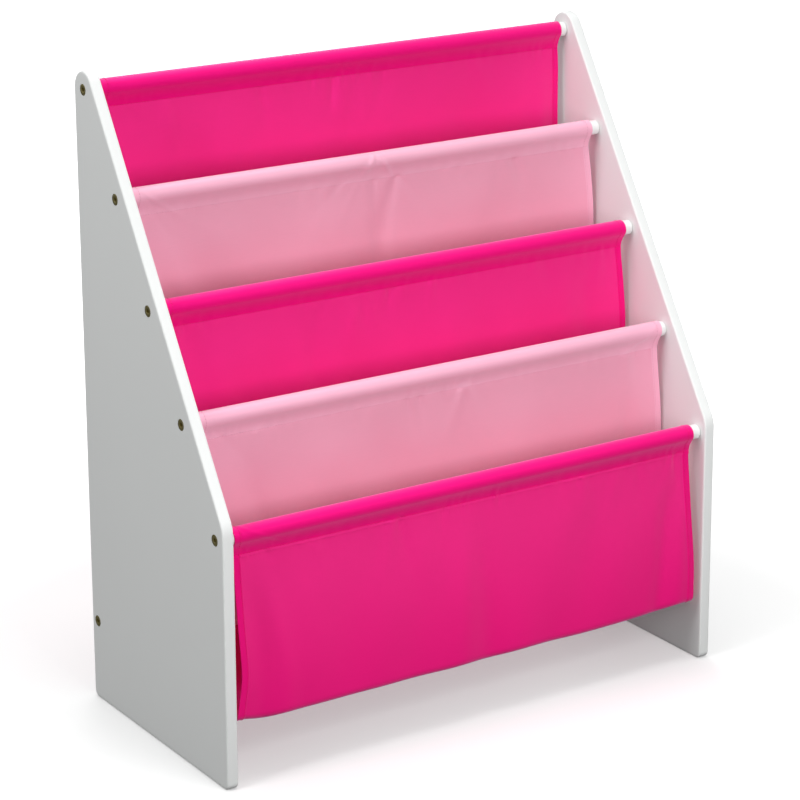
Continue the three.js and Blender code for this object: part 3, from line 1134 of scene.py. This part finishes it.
def sunk(cloth, index, points, normals, sink):
    """Creases as moves: towards the dowel on a sleeve's front, and backwards below it.

    A sleeve is what lies above the stitch line and within about 14 mm of the dowel's column.
    """
    y, z = SLING_DOWELS[index]
    stitch = z - cloth.stitch_drop
    above = smoothstep(points[..., 2], stitch - 2 * MM, stitch + 4 * MM)
    before = smoothstep(y - points[..., 1], -3 * MM, 2 * MM)
    own = smoothstep(-np.abs(points[..., 1] - y), -16 * MM, -12 * MM)
    backwards = np.zeros_like(points)
    backwards[..., 1] = 1.0
    sleeve_share = (above * own)[..., None]
    on_sleeve = -normals * (np.minimum(sink, MOST_SLEEVE_SINK) * before)[..., None]
    return backwards * sink[..., None] * (1 - sleeve_share) + on_sleeve * sleeve_share


def wrinkle(cloth, index, points, normals):
    """Adds the small creases that sewing and use leave, in place, shared by cloth side by side."""
    x, z = points[..., 0], points[..., 2]
    sink = np.zeros_like(x)
    for column, near, drop in beside_dowels(cloth, points):
        draw = np.random.default_rng(CREASE_SEED + column)
        below = np.clip(drop, 0, None)
        hang = smoothstep(drop, -8 * MM, 4 * MM)
        fall = np.clip(SLING_DOWELS[column][1] + cloth.sleeve_radius - z, 0, None)
        # Puckers at the stitches
        pucker = np.zeros_like(x)
        for _ in range(PUCKERS):
            wave = draw.uniform(9, 26) * MM
            pucker += draw.uniform(0.4, 1.0) * np.sin(2 * math.pi * (x / wave + draw.random()))
        sink += near * 0.2 * MM * pucker * bump_at(drop - 1 * MM, 9 * MM)
        # Creases that fan down from the stitches
        for _ in range(FANNED_CREASES):
            start = draw.uniform(-0.95, 0.95) * cloth.half_width
            lean = draw.uniform(-0.4, 0.4)
            reach_down = draw.uniform(25, 80) * MM
            width = draw.uniform(3, 6) * MM * (1 + below / (30 * MM))
            depth = draw.uniform(-2.0, 2.0) * MM
            crease = bump_at(x - start - lean * below, width)
            fade = hang * np.exp(-((below / reach_down) ** 2))
            sink += near * depth * crease * fade
        # Slow waves across the cloth
        for _ in range(SLOW_WAVES):
            wave = draw.uniform(70, 190) * MM
            tilt = draw.uniform(-0.5, 0.5)
            height = draw.uniform(0.2, 0.6) * MM
            swell = np.sin(2 * math.pi * ((x + tilt * z) / wave + draw.random()))
            sink += near * height * swell * smoothstep(drop, 0, 60 * MM)
        # Creases that start on the sleeve
        for dowel, place, drift, depth, width, reach_down in SLEEVE_CREASES:
            if dowel == column:
                crease_width = width * MM * (1 + fall / (40 * MM))
                crease = bump_at(x - place * MM - drift * fall, crease_width)
                fade = np.exp(-((fall / (reach_down * MM)) ** 2))
                sink += near * depth * MM * crease * fade
    points += sunk(cloth, index, points, normals, sink)


def across_places(cloth):
    """Places across a sling, close together at the hems and at the sharp creases."""
    half = cloth.half_width
    edge = np.array([0.0, 0.5, 1.5, 3.5, 6.0]) * MM
    hem = cloth.hem_width
    hem_places = [hem - HEM_STITCH_IN, hem - 0.3 * MM, hem + 0.3 * MM, hem + 1.6 * MM]
    side = np.concatenate([edge, hem_places])
    inner = half - side[-1]
    places = [0.0]
    while places[-1] < inner:
        creased = places[-1] < CREASED_MIDDLE or places[-1] > inner - CREASED_ENDS
        places.append(places[-1] + (cloth.crease_step if creased else cloth.column_step))
    one_side = np.array(places) * (inner / places[-1])
    between = np.concatenate([-one_side[:0:-1], one_side])[1:-1]
    return np.concatenate([side - half, between, (half - side)[::-1]])


def outward_normals(points, stitched):
    """A sling's normals, upwards on top of its dowel."""
    normals = np.cross(np.gradient(points, axis=0), np.gradient(points, axis=1))
    normals /= np.linalg.norm(normals, axis=2, keepdims=True)
    top = (stitched[0] + stitched[1]) // 2
    return normals if normals[top, 0, 2] > 0 else -normals


def sling_surface(cloth, index, places):
    """A sling's middle surface with its normals, and what thickens and dyes it.

    Gives the points, their normals, the thickness out to the front and to the back, the distance
    of each row along the cloth, the stitched rows, and 1 for the columns in a hem.
    """
    line, stitched = sling_line(cloth, index)
    points = np.zeros((len(line), len(places), 3))
    points[..., 0] = places[None, :]
    points[..., 1] = line[:, 0, None]
    points[..., 2] = line[:, 1, None]
    drape(cloth, points)
    wrinkle(cloth, index, points, outward_normals(points, stitched))
    steps = np.linalg.norm(np.diff(line, axis=0), axis=1)
    along = np.concatenate([[0.0], np.cumsum(steps)])
    for row, side in zip(stitched, (1, -1)):
        pull = STITCH_PULL * bump_at(along - along[row], STITCH_PULL_REACH)
        points[..., 1] -= side * pull[:, None]
    normals = outward_normals(points, stitched)
    half = cloth.thickness / 2
    from_edge = cloth.half_width - np.abs(places)
    hem = 1 - smoothstep(from_edge, cloth.hem_width - 0.4 * MM, cloth.hem_width + 0.4 * MM)
    inner = half + cloth.hem_rise * hem[None, :] * np.ones((len(line), 1))
    return points, normals, half, inner, along, stitched, hem


def plies_and_painted_shade(cloth, index, along, stitched, hem):
    """1 where the cloth is doubled, in its sleeve, hems and lapped seams, and 0 elsewhere; on the
    front sling it also rises below the stitch line towards the pocket's bottom, as painted shade.
    """
    first, last = along[stitched[0]], along[stitched[1]]
    soft = 0.4 * MM
    doubled = smoothstep(along, first - soft, first + soft)
    doubled *= 1 - smoothstep(along, last - soft, last + soft)
    if index > 0:
        past_lap = smoothstep(along, cloth.seam_lap, cloth.seam_lap + soft)
        doubled = np.maximum(doubled, 1 - past_lap)
    if index < len(SLING_DOWELS) - 1:
        lap = along[-1] - cloth.seam_lap
        doubled = np.maximum(doubled, smoothstep(along, lap - soft, lap))
    else:
        # Painted shade: the front sling takes on its darker doubled tone towards its pocket's
        # bottom.
        fall = smoothstep(first - along, 0, cloth.pocket_depth) * PAINTED_LOW_SHADE
        doubled = np.maximum(doubled, fall)
    return np.maximum(doubled[:, None], hem[None, :])


def strip_faces(rows, columns):
    """The faces of a closed strip. Each row is a ring: front, right edge, back and left edge."""
    around = 2 * columns + 2
    faces = []
    for row in range(rows - 1):
        low, high = row * around, (row + 1) * around
        for step in range(around):
            after = (step + 1) % around
            faces.append((low + step, high + step, high + after, low + after))
    for base, flip in ((0, 1), ((rows - 1) * around, -1)):
        for step in range(columns - 1):
            behind = base + 2 * columns - step
            faces.append((base + step, base + step + 1, behind - 1, behind)[::flip])
        faces.append((base + columns - 1, base + columns, base + columns + 1)[::flip])
        faces.append((base + around - 1, base, base + around - 2)[::flip])
    return faces


def map_cloth(mesh, across, along, doubled):
    """Gives a mesh of rings its flat places, as a UV map, and its doubled share by point, which
    also holds the front sling's painted shade.
    """
    mesh.attributes.new("doubled", "FLOAT", "POINT").data.foreach_set(
        "value", doubled.ravel().astype(np.float32)
    )
    flat = np.zeros((len(along), len(across), 2))
    flat[..., 0] = across[None, :]
    flat[..., 1] = along[:, None]
    uv = mesh.uv_layers.new(name="cloth")
    corner_points = np.zeros(len(mesh.loops), dtype=np.int32)
    mesh.loops.foreach_get("vertex_index", corner_points)
    uv.data.foreach_set("uv", flat.reshape(-1, 2)[corner_points].ravel().astype(np.float32))


def sewn_lines(cloth, index, places, along, stitched, upper, lower):
    """Where a sling's stitches run: by its dowel, along its side hems and along its seams."""
    columns = len(places)
    seam_columns = slice(3, columns - 3)
    lines = [upper[row, seam_columns] for row in stitched]
    hem_stitch = cloth.hem_width - HEM_STITCH_IN - cloth.half_width
    hem_column = int(np.argmin(np.abs(places - hem_stitch)))
    for column in (hem_column, columns - 1 - hem_column):
        lines += [upper[2:-2, column], lower[2:-2, column]]
    lap = cloth.seam_lap / 2
    if index > 0:
        row = int(np.argmin(np.abs(along - lap)))
        lines += [upper[row, seam_columns], lower[row, seam_columns]]
    if index < len(SLING_DOWELS) - 1:
        row = int(np.argmin(np.abs(along - along[-1] + lap)))
        lines.append(upper[row, seam_columns])
    return lines


def sling_mesh(name, cloth, index):
    """A sling as a closed mesh, the lines that its stitches follow, and its length when flat."""
    places = across_places(cloth)
    points, normals, half, inner, along, stitched, hem = sling_surface(cloth, index, places)
    doubled = plies_and_painted_shade(cloth, index, along, stitched, hem)
    front = points + normals * half
    back = points - normals * inner[..., None]
    edge_fold = 0.35 * MM
    middle = (front + back) / 2
    left = middle[:, :1] - (edge_fold, 0, 0)
    right = middle[:, -1:] + (edge_fold, 0, 0)
    rings = np.concatenate([front, right, back[:, ::-1], left], axis=1)
    ring_plies_and_shade = np.concatenate(
        [doubled, doubled[:, -1:], doubled[:, ::-1], doubled[:, :1]], axis=1
    )
    ring_across = np.concatenate([places, places[-1:], places[::-1], places[:1]])
    mesh = bpy.data.meshes.new(name)
    mesh.from_pydata(rings.reshape(-1, 3).tolist(), [], strip_faces(*points.shape[:2]))
    map_cloth(mesh, ring_across, along, ring_plies_and_shade)
    face_outwards(mesh)
    soften(mesh, angle=50)
    thread_rise = 0.12 * MM
    upper = front + normals * thread_rise
    lower = back - normals * thread_rise
    return mesh, sewn_lines(cloth, index, places, along, stitched, upper, lower), along[-1]


class RACK_OT_slings(bpy.types.Operator):
    """Build the five canvas slings, hung over their dowels"""

    bl_idname = "rack.slings"
    bl_label = "Slings"

    def execute(self, context):
        cloth = context.scene.rack_cloth
        for index, node in enumerate(SLING_NODES):
            name = f"{node}_canvas"
            dye = dye_of(node)
            mesh, lines, cloth_length = sling_mesh(name, cloth, index)
            piece = link_piece(name, mesh, cloth_material(dye))
            sewing = stitch_rows(f"stitching_{node}", lines, thread_material(dye))
            for part in (piece, sewing):
                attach(part, BODY)
            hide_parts(node)
        return {"FINISHED"}


# Sewing


def stitch_tree():
    """Stitches laid end to end along lines, each a short rounded grain of thread."""
    tree, given = new_geometry_tree(
        "stitch_rows",
        Pitch="Float",
        Stitch="Float",
        Thread="Float",
        Seed="Int",
        Material="Material",
    )
    curves = add_node(tree, "GeometryNodeMeshToCurve", Mesh=given.outputs["Geometry"])
    spaced = add_node(
        tree,
        "GeometryNodeResampleCurve",
        {"mode": "LENGTH"},
        Curve=curves.outputs["Curve"],
        Length=given.outputs["Pitch"],
    )
    grain = add_node(tree, "GeometryNodeMeshUVSphere", Segments=6, Rings=4, Radius=0.5)
    along = add_node(tree, "GeometryNodeInputTangent")
    facing = add_node(
        tree, "FunctionNodeAlignRotationToVector", {"axis": "X"}, Vector=along.outputs["Tangent"]
    )
    size = add_node(
        tree,
        "ShaderNodeCombineXYZ",
        X=given.outputs["Stitch"],
        Y=given.outputs["Thread"],
        Z=given.outputs["Thread"],
    )
    varied = add_node(
        tree,
        "FunctionNodeRandomValue",
        {"data_type": "FLOAT"},
        in_2=0.88,
        in_3=1.06,
        Seed=given.outputs["Seed"],
    )
    grown = add_node(
        tree,
        "ShaderNodeVectorMath",
        {"operation": "SCALE"},
        in_0=size.outputs["Vector"],
        Scale=varied.outputs[1],
    )
    stitches = add_node(
        tree,
        "GeometryNodeInstanceOnPoints",
        Points=spaced.outputs["Curve"],
        Instance=grain.outputs["Mesh"],
        Rotation=facing.outputs["Rotation"],
        Scale=grown.outputs["Vector"],
    )
    end_geometry_tree(tree, stitches.outputs["Instances"], given.outputs["Material"])
    return tree


def stitch_rows(name, lines, material):
    """Real stitches along lines of points."""
    sizes = bpy.context.scene.rack_stitch
    points = np.vstack(lines)
    edges = []
    start = 0
    for line in lines:
        edges += [(start + step, start + step + 1) for step in range(len(line) - 1)]
        start += len(line)
    mesh = bpy.data.meshes.new(name)
    mesh.from_pydata(points.tolist(), edges, [])
    piece = grown(
        link_piece(name, mesh),
        bpy.data.node_groups.get("stitch_rows") or stitch_tree(),
        Pitch=sizes.pitch,
        Stitch=sizes.stitch,
        Thread=sizes.thread,
        Seed=sizes.seed,
        Material=material,
    )
    piece.data.shade_smooth()
    return piece


# Stage


class StageSizes(bpy.types.PropertyGroup):
    """The floor and the light."""

    floor_size: length("Floor size", "Side of the square floor", 14.0)
    ambient: FloatProperty(
        name="Ambient", description="Strength of the even light", default=0.44, min=0.0
    )
    top_power: power("Top power", "Power of the large lamp overhead", 19.5)
    front_power: power("Front power", "Power of the lamp before the slings", 9.9)
    side_power: power("Side power", "Power of the lamp on the left", 21.0)
    back_power: power("Back power", "Power of the lamp behind the slings", 11.0)


# The camera's framing, place and angle, those of the photograph, for 800 by 800 pixels.
IMAGE_PIXELS = 800
FOCAL_PIXELS = 2823.7
HORIZON_SHIFT_PIXELS = -120
SENSOR_WIDTH = 36.0
CAMERA_PLACE = Vector((-1.56249, -2.383559, 1.23849))
CAMERA_YAW = 0.57837
CAMERA_PITCH = 0.27093
CAMERA_ROLL = -0.00378

# What the lamps face.
RACK_MIDDLE = (0.0, 0.0, 0.34)


def seen_directly(tree):
    """1 for rays from the camera, and 0 for light that falls on the object or mirrors in it."""
    return add_node(tree, "ShaderNodeLightPath").outputs["Is Camera Ray"]


def floor_material():
    """Matt white studio floor.

    It throws back less light than it shows, so that the feet of the boards stay as dim as they are.
    Seen directly it is brightened towards white, more so away from the rack, where the lamps fade;
    the smaller brightening close to the rack is painted shade round its foot.
    """
    material = bpy.data.materials.new("matt_white_studio_floor")
    tree = cleared_tree(material)
    seen = seen_directly(tree)
    thrown_back = linear(0x6A6A6A)
    shown = linear(0xF0F0F0)
    tone = mixed(tree, thrown_back, shown, seen)
    matt = add_node(tree, "ShaderNodeBsdfDiffuse", Color=tone)
    places = add_node(tree, "ShaderNodeTexCoord")
    away = add_node(
        tree, "ShaderNodeVectorMath", {"operation": "LENGTH"}, in_0=places.outputs["Object"]
    ).outputs["Value"]
    # Painted shade: the floor is brightened least within half a metre of the rack's middle, so it
    # shows darker round the rack; further out the brightening evens out the lamps' fade.
    lifted = add_node(
        tree,
        "ShaderNodeMapRange",
        Value=away,
        From_Min=0.5,
        From_Max=1.35,
        To_Min=0.18,
        To_Max=0.92,
    ).outputs["Result"]
    lift = add_node(
        tree,
        "ShaderNodeEmission",
        Color=linear(0xFFFFFF),
        Strength=maths(tree, "MULTIPLY", seen, lifted),
    )
    both = add_node(
        tree, "ShaderNodeAddShader", in_0=matt.outputs["BSDF"], in_1=lift.outputs["Emission"]
    )
    add_node(tree, "ShaderNodeOutputMaterial", Surface=both.outputs["Shader"])
    return material


def add_lamp(name, place, size, watts):
    """A square white area lamp that faces the middle of the rack; gives its object."""
    lamp = bpy.data.lights.new(name, "AREA")
    lamp.shape = "SQUARE"
    lamp.size = size
    lamp.energy = watts
    holder = bpy.data.objects.new(name, lamp)
    holder.location = place
    ahead = Vector(RACK_MIDDLE) - Vector(place)
    holder.rotation_euler = ahead.to_track_quat("-Z", "Y").to_euler()
    bpy.context.scene.collection.objects.link(holder)
    return holder


def add_camera():
    """The camera at the photograph's place, angle and framing."""
    ahead = Vector(
        (
            math.sin(CAMERA_YAW) * math.cos(CAMERA_PITCH),
            math.cos(CAMERA_YAW) * math.cos(CAMERA_PITCH),
            -math.sin(CAMERA_PITCH),
        )
    )
    right = Vector((math.cos(CAMERA_YAW), -math.sin(CAMERA_YAW), 0.0))
    up = right.cross(ahead)
    rolled_right = math.cos(CAMERA_ROLL) * right + math.sin(CAMERA_ROLL) * up
    rolled_up = math.cos(CAMERA_ROLL) * up - math.sin(CAMERA_ROLL) * right
    turn = Matrix((rolled_right, rolled_up, -ahead)).transposed().to_4x4()
    data = bpy.data.cameras.new("camera")
    data.sensor_fit = "HORIZONTAL"
    data.sensor_width = SENSOR_WIDTH
    data.lens = FOCAL_PIXELS / IMAGE_PIXELS * SENSOR_WIDTH
    data.shift_y = HORIZON_SHIFT_PIXELS / IMAGE_PIXELS
    holder = bpy.data.objects.new("camera", data)
    holder.matrix_world = Matrix.Translation(CAMERA_PLACE) @ turn
    bpy.context.scene.collection.objects.link(holder)
    bpy.context.scene.camera = holder


class RACK_OT_stage(bpy.types.Operator):
    """Build the pale floor, the soft lamps, the even light and the camera"""

    bl_idname = "rack.stage"
    bl_label = "Stage"

    def execute(self, context):
        sizes = context.scene.rack_stage
        half = sizes.floor_size / 2
        just_under = -0.3 * MM
        corners = [(-half, -half), (half, -half), (half, half), (-half, half)]
        mesh = bpy.data.meshes.new("floor")
        mesh.from_pydata([(x, y, just_under) for x, y in corners], [], [(0, 1, 2, 3)])
        floor = link_piece("floor", mesh, floor_material())

        world = bpy.data.worlds.new("even_light")
        tree = cleared_tree(world)
        strength = spread(tree, seen_directly(tree), sizes.ambient, 1.0)
        sky = add_node(tree, "ShaderNodeBackground", Color=linear(0xFFFFFF), Strength=strength)
        add_node(tree, "ShaderNodeOutputWorld", Surface=sky.outputs["Background"])
        context.scene.world = world

        add_lamp("top_lamp", (0.0, 0.2, 2.4), size=1.6, watts=sizes.top_power)
        front = add_lamp("front_lamp", (0.0, -1.25, 0.74), size=0.8, watts=sizes.front_power)
        front.visible_glossy = False
        add_lamp("side_lamp", (-2.4, -0.2, 1.7), size=0.9, watts=sizes.side_power)
        add_lamp("back_lamp", (0.9, 2.1, 1.3), size=1.2, watts=sizes.back_power)
        add_camera()
        context.scene.view_settings.view_transform = "Standard"
        return {"FINISHED"}


# Sidebar and start


class RACK_PT_sidebar(bpy.types.Panel):
    """Lists the pieces of the bookshelf and the sizes behind them"""

    bl_idname = "RACK_PT_sidebar"
    bl_label = "Sling Bookshelf"
    bl_space_type = "VIEW_3D"
    bl_region_type = "UI"
    bl_category = "Bookshelf"

    def draw(self, context):
        for operator in OPERATORS:
            self.layout.operator(operator.bl_idname)
        for name, group in GROUPS.items():
            box = self.layout.box()
            box.label(text=group.__doc__)
            for field in group.__annotations__:
                box.prop(getattr(context.scene, name), field)


OPERATORS = (
    RACK_OT_stage,
    RACK_OT_panels,
    RACK_OT_dowels,
    RACK_OT_bolts,
    RACK_OT_inserts,
    RACK_OT_slings,
)
GROUPS = {
    "rack_board": BoardSizes,
    "rack_dowel": DowelSizes,
    "rack_bolt": BoltSizes,
    "rack_cloth": SlingSizes,
    "rack_stitch": StitchSizes,
    "rack_finishes": Finishes,
    "rack_stage": StageSizes,
}
CLASSES = (*GROUPS.values(), *OPERATORS, RACK_PT_sidebar)


def register():
    """Registers the classes and hangs the groups of sizes on the scene."""
    for cls in CLASSES:
        bpy.utils.register_class(cls)
    for name, group in GROUPS.items():
        setattr(bpy.types.Scene, name, PointerProperty(type=group))


def unregister():
    """Undoes register."""
    for name in GROUPS:
        delattr(bpy.types.Scene, name)
    for cls in reversed(CLASSES):
        bpy.utils.unregister_class(cls)


def main():
    register()
    for operator in OPERATORS:
        group, name = operator.bl_idname.split(".")
        getattr(getattr(bpy.ops, group), name)()


if __name__ == "__main__":
    main()
